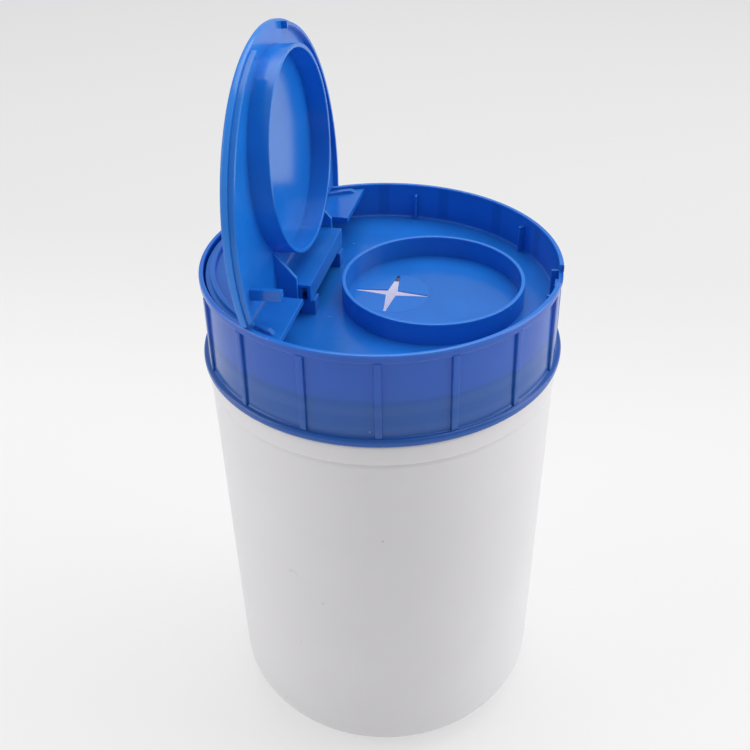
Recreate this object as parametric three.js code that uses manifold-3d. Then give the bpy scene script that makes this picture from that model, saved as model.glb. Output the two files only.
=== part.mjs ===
// Wipes canister: a blow-moulded bottle with a coarse neck thread, a screw cap with a
// recessed dispensing deck, an inserted rear hinge panel and a hinged dust flap.
// Millimetres, +Z up, +X is the front (latch side), origin at the centre of the base.

import * as THREE from 'three';
import { mergeVertices } from 'three/addons/utils/BufferGeometryUtils.js';
import Module from 'manifold-3d';

const wasm = await Module();
wasm.setup();

// Facets
const ROUND = 48;
const THREAD_STEPS_PER_TURN = 32;

// Clearances
const SEAT_GAP = 0.3;
const THREAD_CLEAR = 0.5;
const LID_LIFT = 0.4;
const FLAP_EDGE_CLEAR = 0.8;
const PANEL_EDGE_CLEAR = 0.6;
const PIN_CLEAR = 0.3;
const ARM_CLEAR = 0.4;

// Bottle
const FOOT_R = 61.7;
const CORNER_R = 16;
const BASE_RECESS = 3;
const STAND_IN = 42.5;
const WALL_TOP_R = 63.75;
const BAND_OUT = 0.35;
const BAND_H = 7.8;
const SHOULDER_Z = 161.3;
const BODY_WALL = 1.4;
const NECK_R = 59.8;
const NECK_H = 17.4;

// Neck and cap thread, right-handed
const THREAD_LEAD = 8;
const THREAD_H = 1.6;
const THREAD_ROOT = 3.2;
const THREAD_CREST = 1.4;
const NECK_TURNS = 1.25;
const CAP_TURNS = 1;
const THREAD_START = 5.2;
const THREAD_BITE = 0.6;

// Roll of wipes
const ROLL_R = 55;
const ROLL_CORE_R = 22;
const ROLL_H = 152;
const ROLL_EDGE = 10;

// Sealing ring under the deck
const GASKET_T = 0.9;
const GASKET_IN_R = 57.4;

// Cap
const SKIRT_T = 1.5;
const RIM_WALL = 1.1;
const DECK_T = 1.8;
const RIM_H = 14;
const LIP_OUT = 0.6;
const LIP_H = 2.8;
const BEAD_OUT = 2;
const BEAD_H = 2.7;
const GRIP_COUNT = 16;
const GRIP_W = 2.5;
const GRIP_OUT = 0.95;

// Dispensing web, star slit and ring
const RING_X = 18.75;
const RING_R = 32.3;
const RING_T = 1.4;
const RING_H = 8;
const STAR_X = 3.8;
const STAR_ARM = 13;
const STAR_WAIST = 2.1;
const STAR_TIP = 0.5;
const WEB_DISC_R = 14.5;
const WEB_DISC_DEPTH = 0.25;

// Small forms inside the rim
const REST_ANGLES = [8.6, 42, 89];
const REST_W = 1.2;
const REST_IN = 1.4;
const POST_Y = 15;
const POST_W = 5;
const POST_DEPTH = 5.5;
const POST_AHEAD = 0.8;
const NOTCH_W = 12.6;
const NOTCH_DEPTH = 2.8;
const CATCH_W = 5;
const CATCH_T = 1.2;
const CATCH_DROP = 5;

// Hinge panel
const PANEL_FRONT = -19.8;
const PANEL_T = 2.4;
const PANEL_SINK = 1.4;
const BLOCK_HALF = 22.2;
const BLOCK_T = 1.3;
const BLOCK_WALL = 1.3;
const BLOCK_WALL_H = 6.6;
const SLOT_W = 8.8;
const SLOT_BACK_CLEAR = 0.9;
const CHEEK_T = 1.4;
const CHEEK_INSET = 0.4;
const CHEEK_R = 3.4;
const CURB_T = 1.5;
const CURB_FROM = 30;
const STACK_R = 59;
const STACK_W = 2;
const STACK_H = 1.35;

// Hinge
const PIVOT_BACK = 6.7;
const PIVOT_DROP = 6;
const PIN_R = 1.8;
const PIN_IN = 2.4;
const OPEN_DEG = 94;

// Flap
const FLAP_T = 2;
const FLAP_BACK_EDGE = 1.8;
const ARM_T = 1.5;
const ARM_R = 2.8;
const TAB_W = 7.8;
const TAB_BACK = 2.5;
const SEAL_CLEAR = 0.8;
const SEAL_T = 1.4;
const SEAL_H = 7.2;
const FLAP_RIB_T = 1.2;
const FLAP_RIB_H = 1.9;
const FLAP_RIB_CLEAR = 0.3;
const FLAP_RIB_GAP = 9;
const FLAP_RIB_END = 2.2;
const PEG_FROM_EDGE = 7.9;
const PEG_Y = -47.75;
const PEG_W = 3.8;

// Heights and radii that follow
const LID_BOTTOM = SHOULDER_Z + LID_LIFT;
const NECK_TOP = SHOULDER_Z + NECK_H;
const GASKET_Z = NECK_TOP + SEAT_GAP;
const DECK_UNDER = GASKET_Z + GASKET_T + SEAT_GAP;
const DECK_TOP = DECK_UNDER + DECK_T;
const RIM_TOP = DECK_TOP + RIM_H;
const NECK_IN_R = NECK_R - BODY_WALL;
const BAND_R = WALL_TOP_R + BAND_OUT;
const SKIRT_IN_R = NECK_R + THREAD_H + THREAD_CLEAR;
const SKIRT_R = SKIRT_IN_R + SKIRT_T;
const RIM_IN_R = SKIRT_R - RIM_WALL;
const RIM_R = SKIRT_R + LIP_OUT;
const PANEL_TOP = RIM_TOP - PANEL_SINK;
const PANEL_R = RIM_IN_R - PANEL_EDGE_CLEAR;
const FLAP_TOP = PANEL_TOP;
const FLAP_UNDER = FLAP_TOP - FLAP_T;
const FLAP_R = RIM_IN_R - FLAP_EDGE_CLEAR;
const FLAP_EDGE_X = PANEL_FRONT + FLAP_BACK_EDGE;
const PIVOT_X = PANEL_FRONT - PIVOT_BACK;
const PIVOT_Z = PANEL_TOP - PIVOT_DROP;
const SLOT_BACK_X = PIVOT_X - PIVOT_DROP - SLOT_BACK_CLEAR;
const ARM_Y = BLOCK_HALF + ARM_CLEAR;
const SEAL_IN_R = RING_R + SEAL_CLEAR;
const SEAL_R = SEAL_IN_R + SEAL_T;
const FLAP_RIB_R = RIM_IN_R - REST_IN - FLAP_RIB_CLEAR;
const POST_FRONT = PANEL_FRONT + POST_AHEAD;
const POST_TOP = PANEL_TOP - BLOCK_WALL_H - SEAT_GAP;

// Plain geometry to solid, with outward faces
function solid(geometry) {
  const plain = geometry.clone();
  plain.deleteAttribute('normal');
  plain.deleteAttribute('uv');
  const merged = mergeVertices(plain, 1e-4);
  const p = merged.attributes.position.array;
  const index = merged.index.array;
  const kept = [];
  let volume = 0;
  for (let i = 0; i < index.length; i += 3) {
    const [a, b, c] = [index[i], index[i + 1], index[i + 2]];
    if (a === b || b === c || c === a) continue;
    kept.push(a, b, c);
    const [ax, ay, az] = [p[3 * a], p[3 * a + 1], p[3 * a + 2]];
    const [bx, by, bz] = [p[3 * b], p[3 * b + 1], p[3 * b + 2]];
    const [cx, cy, cz] = [p[3 * c], p[3 * c + 1], p[3 * c + 2]];
    volume += ax * (by * cz - bz * cy) - ay * (bx * cz - bz * cx) + az * (bx * cy - by * cx);
  }
  if (volume < 0) kept.reverse();
  return new wasm.Manifold(new wasm.Mesh({
    numProp: 3,
    vertProperties: new Float32Array(p),
    triVerts: new Uint32Array(kept),
  }));
}

// Union of several solids
function join(parts) {
  let whole = parts[0];
  for (const part of parts.slice(1)) whole = whole.add(part);
  return whole;
}

// Named mesh from a solid
function meshOf(name, shape, material) {
  const out = shape.getMesh();
  const geometry = new THREE.BufferGeometry();
  const stride = out.numProp;
  const positions = new Float32Array(out.numVert * 3);
  for (let i = 0; i < out.numVert; i += 1) {
    positions[3 * i] = out.vertProperties[stride * i];
    positions[3 * i + 1] = out.vertProperties[stride * i + 1];
    positions[3 * i + 2] = out.vertProperties[stride * i + 2];
  }
  geometry.setAttribute('position', new THREE.BufferAttribute(positions, 3));
  geometry.setIndex(new THREE.BufferAttribute(new Uint32Array(out.triVerts), 1));
  geometry.computeVertexNormals();
  const mesh = new THREE.Mesh(geometry, material);
  mesh.name = name;
  return mesh;
}

// Body of revolution about Z from [radius, height] points
function revolve(points, segments = ROUND) {
  const profile = points.map(([r, z]) => new THREE.Vector2(r, z));
  return solid(new THREE.LatheGeometry(profile, segments).rotateX(Math.PI / 2));
}

// Ring with a rectangular section
function ring(innerR, outerR, low, high, segments = ROUND) {
  return revolve([[innerR, low], [outerR, low], [outerR, high], [innerR, high], [innerR, low]], segments);
}

// Upright prism from an XY outline
function prism(shape, low, high, curveSegments = 24) {
  const options = { depth: high - low, bevelEnabled: false, curveSegments };
  return solid(new THREE.ExtrudeGeometry(shape, options).translate(0, 0, low));
}

// Prism along Y from an XZ outline
function crossPrism(shape, yLow, yHigh, curveSegments = 16) {
  const options = { depth: yHigh - yLow, bevelEnabled: false, curveSegments };
  return solid(new THREE.ExtrudeGeometry(shape, options).rotateX(Math.PI / 2).translate(0, yHigh, 0));
}

// Axis-aligned block between two corners
function block(x0, x1, y0, y1, z0, z1) {
  const box = new THREE.BoxGeometry(x1 - x0, y1 - y0, z1 - z0);
  return solid(box.translate((x0 + x1) / 2, (y0 + y1) / 2, (z0 + z1) / 2));
}

// Round bar along Y
function crossBar(radius, x, z, y0, y1, segments = 24) {
  const bar = new THREE.CylinderGeometry(radius, radius, y1 - y0, segments);
  return solid(bar.translate(x, (y0 + y1) / 2, z));
}

// Closed outline from points
function outline(points) {
  return new THREE.Shape(points.map(([x, y]) => new THREE.Vector2(x, y)));
}

// Points of an arc in degrees, both ends included
function arc(cx, cz, radius, from, to, steps) {
  const points = [];
  for (let i = 0; i <= steps; i += 1) {
    const a = THREE.MathUtils.degToRad(from + ((to - from) * i) / steps);
    points.push([cx + radius * Math.cos(a), cz + radius * Math.sin(a)]);
  }
  return points;
}

// Helical thread on a wall: side is 1 outward or -1 inward
function thread(wallR, side, startZ, turns) {
  const profile = outline([
    [-THREAD_BITE, -THREAD_ROOT / 2],
    [0, -THREAD_ROOT / 2],
    [THREAD_H, -THREAD_CREST / 2],
    [THREAD_H, THREAD_CREST / 2],
    [0, THREAD_ROOT / 2],
    [-THREAD_BITE, THREAD_ROOT / 2],
  ]);
  const steps = Math.round(THREAD_STEPS_PER_TURN * turns);
  const geometry = new THREE.ExtrudeGeometry(profile, { depth: 1, steps, bevelEnabled: false });
  const position = geometry.attributes.position;
  const fade = 1.5 / steps;
  for (let i = 0; i < position.count; i += 1) {
    const t = position.getZ(i);
    const ends = Math.min(1, Math.min(t, 1 - t) / fade + 0.08);
    const out = position.getX(i) > 0 ? position.getX(i) * ends : position.getX(i);
    const angle = t * turns * 2 * Math.PI;
    const r = wallR + side * out;
    const z = startZ + position.getY(i) + (THREAD_LEAD * angle) / (2 * Math.PI);
    position.setXYZ(i, r * Math.cos(angle), r * Math.sin(angle), z);
  }
  return solid(geometry);
}

// Bottle with recessed base, corner, tapered wall, top band and threaded neck
function makeBottle() {
  const cornerIn = FOOT_R - CORNER_R;
  const bandZ = SHOULDER_Z - BAND_H;
  const inside = CORNER_R - BODY_WALL;
  const profile = [
    [0, BASE_RECESS],
    [STAND_IN - 6, BASE_RECESS],
    [STAND_IN - 3, BASE_RECESS - 0.6],
    [STAND_IN - 0.8, 0.5],
    [STAND_IN, 0],
    ...arc(cornerIn, CORNER_R, CORNER_R, -90, 0, 7),
    [WALL_TOP_R, bandZ],
    [BAND_R, bandZ + 0.5],
    [BAND_R, SHOULDER_Z - 1.1],
    [BAND_R - 0.35, SHOULDER_Z - 0.35],
    [BAND_R - 1.1, SHOULDER_Z],
    [NECK_R, SHOULDER_Z],
    [NECK_R, NECK_TOP - 0.4],
    [NECK_R - 0.4, NECK_TOP],
    [NECK_IN_R, NECK_TOP],
    [NECK_IN_R, SHOULDER_Z - BODY_WALL - 1.2],
    [WALL_TOP_R - BODY_WALL, SHOULDER_Z - BODY_WALL - 4.5],
    ...arc(cornerIn, CORNER_R, inside, 0, -90, 5),
    [STAND_IN + BODY_WALL, BODY_WALL + 0.5],
    [STAND_IN - 2, BASE_RECESS + BODY_WALL - 0.4],
    [STAND_IN - 5, BASE_RECESS + BODY_WALL],
    [0, BASE_RECESS + BODY_WALL],
  ];
  const shell = revolve(profile);
  return shell.add(thread(NECK_R, 1, SHOULDER_Z + THREAD_START, NECK_TURNS));
}

// Coreless roll of wipes with a pull-out hollow
function makeRoll() {
  const low = BASE_RECESS + BODY_WALL + SEAT_GAP;
  const high = low + ROLL_H;
  return revolve([
    [ROLL_CORE_R, low],
    ...arc(ROLL_R - ROLL_EDGE, low + ROLL_EDGE, ROLL_EDGE, -90, 0, 5),
    ...arc(ROLL_R - 3, high - 3, 3, 0, 90, 3),
    [ROLL_CORE_R + 2, high],
    [ROLL_CORE_R, high - 2],
    [ROLL_CORE_R, low],
  ], 48);
}

// Sealing ring between the neck and the deck
function makeGasket() {
  return ring(GASKET_IN_R, SKIRT_IN_R - SEAT_GAP, GASKET_Z, GASKET_Z + GASKET_T);
}

// Turned form of the cap: skirt, foot bead, deck, rim wall and rolled lip
function makeCapShell() {
  const beadTop = LID_BOTTOM + BEAD_H;
  const lipLow = RIM_TOP - LIP_H;
  const beadR = SKIRT_R + BEAD_OUT;
  return revolve([
    [0, DECK_UNDER],
    [SKIRT_IN_R, DECK_UNDER],
    [SKIRT_IN_R, LID_BOTTOM + 0.6],
    [SKIRT_IN_R + 0.5, LID_BOTTOM],
    [beadR - 0.7, LID_BOTTOM],
    [beadR - 0.2, LID_BOTTOM + 0.4],
    [beadR, LID_BOTTOM + 1.1],
    [beadR - 0.15, beadTop - 0.5],
    [beadR - 0.7, beadTop],
    [SKIRT_R + 0.25, beadTop + 0.35],
    [SKIRT_R, beadTop + 1.2],
    [SKIRT_R - 0.2, lipLow - 0.5],
    [RIM_R - 0.3, lipLow],
    [RIM_R, lipLow + 0.6],
    [RIM_R, RIM_TOP - 0.9],
    [RIM_R - 0.25, RIM_TOP - 0.3],
    [RIM_R - 0.8, RIM_TOP],
    [RIM_IN_R + 0.35, RIM_TOP],
    [RIM_IN_R, RIM_TOP - 0.4],
    [RIM_IN_R, DECK_TOP + 0.8],
    [RIM_IN_R - 0.8, DECK_TOP],
    [0, DECK_TOP],
  ]);
}

// Vertical grip ribs round the skirt
function makeGrips() {
  const low = LID_BOTTOM + BEAD_H - 0.8;
  const high = RIM_TOP - LIP_H + 0.2;
  const half = GRIP_W / 2;
  const inner = SKIRT_R - 0.7;
  const outer = SKIRT_R - 0.1 + GRIP_OUT;
  const shape = outline([
    [inner, -half],
    [outer - 0.4, -half],
    [outer, -half + 0.5],
    [outer, half - 0.5],
    [outer - 0.4, half],
    [inner, half],
  ]);
  const one = prism(shape, low, high);
  const all = [];
  for (let i = 0; i < GRIP_COUNT; i += 1) {
    all.push(one.rotate([0, 0, ((i + 0.5) * 360) / GRIP_COUNT]));
  }
  return join(all);
}

// Four-armed slit with hollow flanks
function makeStar() {
  const points = [];
  for (let i = 0; i < 4; i += 1) {
    const a = (i * Math.PI) / 2;
    const c = Math.cos(a);
    const s = Math.sin(a);
    const tip = STAR_TIP / 2;
    const waist = STAR_WAIST / Math.SQRT2;
    const mid = (STAR_ARM + waist) / 2;
    const hollow = (tip + waist) / 2 - 0.28;
    for (const [u, v] of [[mid, -hollow], [STAR_ARM, -tip], [STAR_ARM, tip], [mid, hollow], [waist, waist]]) {
      points.push([u * c - v * s, u * s + v * c]);
    }
  }
  return prism(outline(points), DECK_UNDER - 1, DECK_TOP + 1).translate([STAR_X, 0, 0]);
}

// Short ribs inside the rim that the closed flap rests on
function makeRests() {
  const top = FLAP_UNDER - SEAT_GAP;
  const one = block(RIM_IN_R - REST_IN, RIM_IN_R + 0.5, -REST_W / 2, REST_W / 2, DECK_TOP - 0.5, top);
  const all = [];
  for (const angle of REST_ANGLES) {
    all.push(one.rotate([0, 0, angle]));
    all.push(one.rotate([0, 0, -angle]));
  }
  return join(all);
}

// Posts on the deck that carry the panel's front wall
function makePosts() {
  const all = [];
  for (const side of [-1, 1]) {
    const y0 = Math.min(side * POST_Y, side * (POST_Y + POST_W));
    all.push(block(POST_FRONT - POST_DEPTH, POST_FRONT, y0, y0 + POST_W, DECK_TOP - 0.5, POST_TOP));
  }
  return join(all);
}

// Screw cap
function makeCap() {
  const dispenser = ring(RING_R - RING_T, RING_R, DECK_TOP - 0.5, DECK_TOP + RING_H).translate([RING_X, 0, 0]);
  const catchTop = RIM_TOP - NOTCH_DEPTH - 0.8;
  const catchBlock = block(
    RIM_IN_R - CATCH_T, RIM_IN_R + 0.5, -CATCH_W / 2, CATCH_W / 2, catchTop - CATCH_DROP, catchTop,
  );
  const threadZ = SHOULDER_Z + THREAD_START - threadPitchOffset();
  const notch = block(RIM_IN_R - 3, RIM_R + 3, -NOTCH_W / 2, NOTCH_W / 2, RIM_TOP - NOTCH_DEPTH, RIM_TOP + 3);
  const disc = ring(WEB_DISC_R - 0.5, WEB_DISC_R, DECK_TOP - WEB_DISC_DEPTH, DECK_TOP + 1, 48);
  return join([
    makeCapShell(),
    makeGrips(),
    makeRests(),
    makePosts(),
    dispenser,
    catchBlock,
    thread(SKIRT_IN_R, -1, threadZ, CAP_TURNS),
  ]).subtract(notch).subtract(makeStar()).subtract(disc.translate([STAR_X, 0, 0]));
}

// How far the cap's thread lies below the neck's, flank to flank
function threadPitchOffset() {
  const slope = (THREAD_ROOT - THREAD_CREST) / 2 / THREAD_H;
  const overlap = THREAD_ROOT - slope * (THREAD_H + THREAD_CLEAR);
  return overlap + SEAT_GAP / Math.cos(Math.atan(slope));
}

// Outline of the panel's side plates with the two slots left open
function panelOutline() {
  const corner = Math.acos(PANEL_FRONT / PANEL_R);
  const shape = new THREE.Shape();
  shape.moveTo(PANEL_FRONT, Math.sin(corner) * PANEL_R);
  shape.absarc(0, 0, PANEL_R, corner, 2 * Math.PI - corner, false);
  const slotOut = BLOCK_HALF + SLOT_W;
  shape.lineTo(PANEL_FRONT, -slotOut);
  shape.lineTo(SLOT_BACK_X, -slotOut);
  shape.lineTo(SLOT_BACK_X, slotOut);
  shape.lineTo(PANEL_FRONT, slotOut);
  shape.closePath();
  return shape;
}

// Raised stacking bead between two angles, with its ends cut by a slope
function makeStackBead(fromX, side) {
  const bead = revolve([
    [STACK_R - STACK_W / 2, FLAP_UNDER + 0.6],
    [STACK_R + STACK_W / 2, FLAP_UNDER + 0.6],
    [STACK_R + STACK_W / 2, PANEL_TOP + STACK_H - 0.4],
    [STACK_R + STACK_W / 2 - 0.4, PANEL_TOP + STACK_H],
    [STACK_R - STACK_W / 2 + 0.4, PANEL_TOP + STACK_H],
    [STACK_R - STACK_W / 2, PANEL_TOP + STACK_H - 0.4],
    [STACK_R - STACK_W / 2, FLAP_UNDER + 0.6],
  ]);
  const far = fromX + side * 3 * STACK_R;
  const slope = outline([
    [fromX, FLAP_UNDER],
    [fromX, PANEL_TOP - 0.2],
    [fromX + side * 2.6, PANEL_TOP + STACK_H + 0.2],
    [fromX + side * 2.6, RIM_TOP + 5],
    [far, RIM_TOP + 5],
    [far, FLAP_UNDER],
  ]);
  return bead.intersect(crossPrism(slope, -2 * STACK_R, 2 * STACK_R));
}

// Socket cheek with a round end and a pin hole
function makeCheek(side) {
  const inner = side * (BLOCK_HALF - CHEEK_INSET - CHEEK_T);
  const outer = side * (BLOCK_HALF - CHEEK_INSET);
  const [y0, y1] = [Math.min(inner, outer), Math.max(inner, outer)];
  const shape = outline([
    [PIVOT_X - CHEEK_R, PANEL_TOP - BLOCK_T + 0.3],
    ...arc(PIVOT_X, PIVOT_Z, CHEEK_R, 180, 360, 10),
    [PIVOT_X + CHEEK_R, PANEL_TOP - BLOCK_T + 0.3],
  ]);
  return crossPrism(shape, y0, y1).subtract(crossBar(PIN_R + PIN_CLEAR, PIVOT_X, PIVOT_Z, y0 - 1, y1 + 1));
}

// Hinge panel
function makePanel() {
  const low = PANEL_TOP - PANEL_T;
  const plates = prism(panelOutline(), low, PANEL_TOP);
  const top = block(SLOT_BACK_X - 1, PANEL_FRONT, -BLOCK_HALF, BLOCK_HALF, PANEL_TOP - BLOCK_T, PANEL_TOP);
  const wall = block(
    PANEL_FRONT - BLOCK_WALL, PANEL_FRONT, -BLOCK_HALF, BLOCK_HALF, PANEL_TOP - BLOCK_WALL_H, PANEL_TOP,
  );
  const curb = ring(PANEL_R - CURB_T, PANEL_R, DECK_TOP + SEAT_GAP, low + 0.5);
  const curbTop = DECK_TOP + SEAT_GAP;
  const behind = block(-2 * PANEL_R, -CURB_FROM, -PANEL_R - 1, PANEL_R + 1, curbTop - 1, PANEL_TOP);
  return join([
    plates,
    top,
    wall,
    curb.intersect(behind),
    makeCheek(1),
    makeCheek(-1),
    makeStackBead(PANEL_FRONT - 2.2, -1),
  ]);
}

// Flap plate outline, in the closed position
function flapOutline() {
  const corner = Math.acos(FLAP_EDGE_X / FLAP_R);
  const shape = new THREE.Shape();
  shape.moveTo(FLAP_EDGE_X, -Math.sin(corner) * FLAP_R);
  shape.absarc(0, 0, FLAP_R, -corner, corner, false);
  for (const side of [1, -1]) {
    const [near, far] = [ARM_Y, ARM_Y + TAB_W];
    const [first, last] = side > 0 ? [far, near] : [near, far];
    shape.lineTo(FLAP_EDGE_X, side * first);
    shape.lineTo(PIVOT_X - TAB_BACK, side * first);
    shape.lineTo(PIVOT_X - TAB_BACK, side * last);
    shape.lineTo(FLAP_EDGE_X, side * last);
  }
  shape.closePath();
  return shape;
}

// Hinge arm: from the pivot forward to the flap's underside
function makeArm(side) {
  const [y0, y1] = side > 0 ? [ARM_Y, ARM_Y + ARM_T] : [-ARM_Y - ARM_T, -ARM_Y];
  const shape = outline([
    ...arc(PIVOT_X, PIVOT_Z, ARM_R, 180, 290, 6),
    [PIVOT_X + 9, PIVOT_Z - 3.2],
    [PIVOT_X + 19.4, FLAP_UNDER + 0.4],
    [PIVOT_X - TAB_BACK + 0.2, FLAP_UNDER + 0.4],
  ]);
  const pinEnd = side * (BLOCK_HALF - PIN_IN);
  const pinRoot = side * (ARM_Y + ARM_T / 2);
  const pin = crossBar(PIN_R, PIVOT_X, PIVOT_Z, Math.min(pinEnd, pinRoot), Math.max(pinEnd, pinRoot));
  return crossPrism(shape, y0, y1).add(pin);
}

// Underside rib near the edge, open at the finger lift, with two end blocks
function makeFlapRib() {
  const low = FLAP_UNDER - FLAP_RIB_H;
  const inner = FLAP_RIB_R - FLAP_RIB_T;
  const round = ring(inner, FLAP_RIB_R, low, FLAP_UNDER + 0.4);
  const ahead = block(FLAP_EDGE_X, 2 * FLAP_R, -FLAP_R, FLAP_R, low - 1, FLAP_TOP);
  const lift = block(0, 2 * FLAP_R, -FLAP_RIB_GAP, FLAP_RIB_GAP, low - 1, FLAP_TOP);
  const rib = round.intersect(ahead).subtract(lift);
  const ends = [];
  for (const side of [-1, 1]) {
    const y0 = side > 0 ? FLAP_RIB_GAP : -FLAP_RIB_GAP - 1.2;
    const x1 = Math.sqrt(FLAP_RIB_R ** 2 - (FLAP_RIB_GAP + 1.2) ** 2);
    ends.push(block(x1 - FLAP_RIB_T - FLAP_RIB_END, x1, y0, y0 + 1.2, low, FLAP_UNDER + 0.4));
  }
  return join([rib, ...ends]);
}

// Half-round prop peg that meets the deck when the flap is shut
function makePeg() {
  const x = FLAP_EDGE_X + PEG_FROM_EDGE;
  const half = PEG_W / 2;
  const shape = outline([
    [x - half, PEG_Y - 1.2],
    [x + half, PEG_Y - 1.2],
    ...arc(x, PEG_Y - 0.2, half, 0, 180, 8),
  ]);
  return prism(shape, DECK_TOP + SEAT_GAP, FLAP_UNDER + 0.4);
}

// Flap, drawn shut
function makeFlap() {
  const plate = prism(flapOutline(), FLAP_UNDER, FLAP_TOP);
  const seal = ring(SEAL_IN_R, SEAL_R, FLAP_UNDER - SEAL_H, FLAP_UNDER + 0.4).translate([RING_X, 0, 0]);
  return join([
    plate,
    seal,
    makeArm(1),
    makeArm(-1),
    makeFlapRib(),
    makePeg(),
    makeStackBead(FLAP_EDGE_X, 1),
  ]);
}

// Materials
const blue = new THREE.MeshStandardMaterial({ color: 0x235fcd, roughness: 0.32, metalness: 0 });
const blueDeep = new THREE.MeshStandardMaterial({ color: 0x2a62c8, roughness: 0.35, metalness: 0 });
const blueFlap = new THREE.MeshStandardMaterial({ color: 0x1e6ed2, roughness: 0.3, metalness: 0 });
const white = new THREE.MeshStandardMaterial({ color: 0xe6e6ea, roughness: 0.5, metalness: 0 });
const seal = new THREE.MeshStandardMaterial({ color: 0xdddddd, roughness: 0.7, metalness: 0 });
const cloth = new THREE.MeshStandardMaterial({ color: 0xf2f2f4, roughness: 0.95, metalness: 0 });

// Assembly: everything is drawn in place; the flap swings up about its pivot
const canister = new THREE.Group();
canister.add(meshOf('canister_body', makeBottle(), white));
canister.add(meshOf('wipes_roll', makeRoll(), cloth));
canister.add(meshOf('lid_gasket', makeGasket(), seal));
canister.add(meshOf('lid_cap', makeCap(), blueDeep));
canister.add(meshOf('hinge_panel', makePanel(), blue));

const hinge = new THREE.Group();
hinge.position.set(PIVOT_X, 0, PIVOT_Z);
hinge.rotation.y = -THREE.MathUtils.degToRad(OPEN_DEG);
const flap = meshOf('flap', makeFlap(), blueFlap);
flap.position.set(-PIVOT_X, 0, -PIVOT_Z);
hinge.add(flap);
canister.add(hinge);

export default canister;
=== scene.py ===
from math import atan2, cos, pi, radians, sin, sqrt

import bmesh
import bpy
from bpy.props import FloatProperty, FloatVectorProperty, IntProperty, PointerProperty
from mathutils import Matrix, Vector


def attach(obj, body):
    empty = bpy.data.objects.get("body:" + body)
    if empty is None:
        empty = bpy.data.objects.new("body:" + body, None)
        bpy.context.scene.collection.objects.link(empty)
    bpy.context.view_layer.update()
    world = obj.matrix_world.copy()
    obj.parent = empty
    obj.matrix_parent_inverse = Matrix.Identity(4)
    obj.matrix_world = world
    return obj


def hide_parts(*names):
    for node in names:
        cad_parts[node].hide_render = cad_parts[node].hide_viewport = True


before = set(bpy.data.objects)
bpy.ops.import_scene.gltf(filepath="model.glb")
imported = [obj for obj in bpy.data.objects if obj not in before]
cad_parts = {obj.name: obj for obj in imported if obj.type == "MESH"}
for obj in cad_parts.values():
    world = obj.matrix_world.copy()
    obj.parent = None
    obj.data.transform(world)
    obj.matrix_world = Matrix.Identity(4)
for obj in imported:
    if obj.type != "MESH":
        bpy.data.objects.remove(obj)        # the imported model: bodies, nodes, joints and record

bl_info = {
    "name": "Wipes Canister",
    "version": (1, 0, 0),
    "blender": (4, 5, 0),
    "location": "3D View > Sidebar > Canister",
    "description": "Builds a wipes canister with a screw cap and a hinged flap",
    "category": "Add Mesh",
}


# Sizes and colours that a user would change

def length(name, description, default):
    """A size in metres."""
    return FloatProperty(name=name, description=description, default=default, min=0.0,
                         precision=5, unit="LENGTH")


def position(name, description, default):
    """A place along an axis, in metres."""
    return FloatProperty(name=name, description=description, default=default,
                         precision=5, unit="LENGTH")


def tint(name, description, default):
    """A linear colour."""
    return FloatVectorProperty(name=name, description=description, default=default, size=3,
                               min=0.0, max=1.0, subtype="COLOR")


class BottleSizes(bpy.types.PropertyGroup):
    """Sizes of the white bottle and what it holds."""
    foot_radius: length("Foot radius", "Wall radius just above the bottom corner", 0.0617)
    corner_radius: length("Corner radius", "Bottom corner", 0.016)
    base_recess: length("Base recess", "How far the base is pushed in", 0.003)
    stand_radius: length("Standing ring", "Inner radius of the ring the bottle stands on", 0.0425)
    wall_top_radius: length("Wall top radius", "Wall radius under the band", 0.06375)
    band_radius: length("Band radius", "Radius of the band under the cap", 0.0641)
    band_height: length("Band height", "Height of the band under the cap", 0.0078)
    shoulder_height: length("Shoulder height", "Height of the shoulder", 0.1613)
    wall: length("Wall", "Wall thickness", 0.0014)
    neck_radius: length("Neck radius", "Outer radius of the neck", 0.0598)
    neck_top: length("Neck top", "Height of the neck's lip", 0.1787)
    roll_radius: length("Roll radius", "Outer radius of the roll of wipes", 0.055)
    roll_core: length("Roll core", "Radius of the hollow in the roll", 0.022)
    roll_top: length("Roll top", "Height of the roll's top", 0.1567)


class ThreadSizes(bpy.types.PropertyGroup):
    """Sizes shared by the neck's and the cap's thread."""
    lead: length("Lead", "Rise of the thread in one turn", 0.008)
    height: length("Height", "How far the thread stands out", 0.0016)
    root: length("Root", "Width of the thread at the wall", 0.0032)
    crest: length("Crest", "Width of the thread at its crest", 0.0014)
    neck_start: length("Neck start", "Height where the neck's thread starts", 0.1665)
    cap_start: length("Cap start", "Height where the cap's thread starts", 0.16413)


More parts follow.
